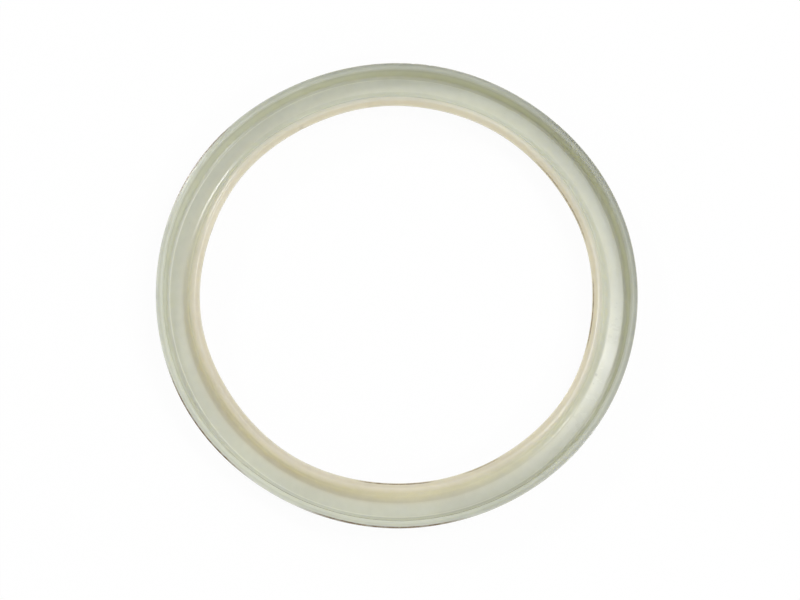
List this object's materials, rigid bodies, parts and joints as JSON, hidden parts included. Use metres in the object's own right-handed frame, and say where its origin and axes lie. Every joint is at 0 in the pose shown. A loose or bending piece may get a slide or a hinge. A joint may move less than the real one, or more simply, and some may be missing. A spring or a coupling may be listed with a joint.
{
  "type": "lip seal",
  "caption": "Moulded U-shaped lip seal ring with a slanted inner wiping lip, a thin steep outer sealing lip, an open groove with a narrow ledge between them and a flat heel.",
  "frame": {"origin": "centre of the flat heel face, on the seal's axis", "axes": "+Z along the seal's axis, from the heel towards the lips; the ring is round about Z, so X and Y are free"},
  "size_m": [0.1324, 0.1324, 0.0088],
  "materials": {
    "elastomer": "satin"
  },
  "bodies": {
    "root": {"seal_ring": "elastomer"}
  },
  "joints": []
}
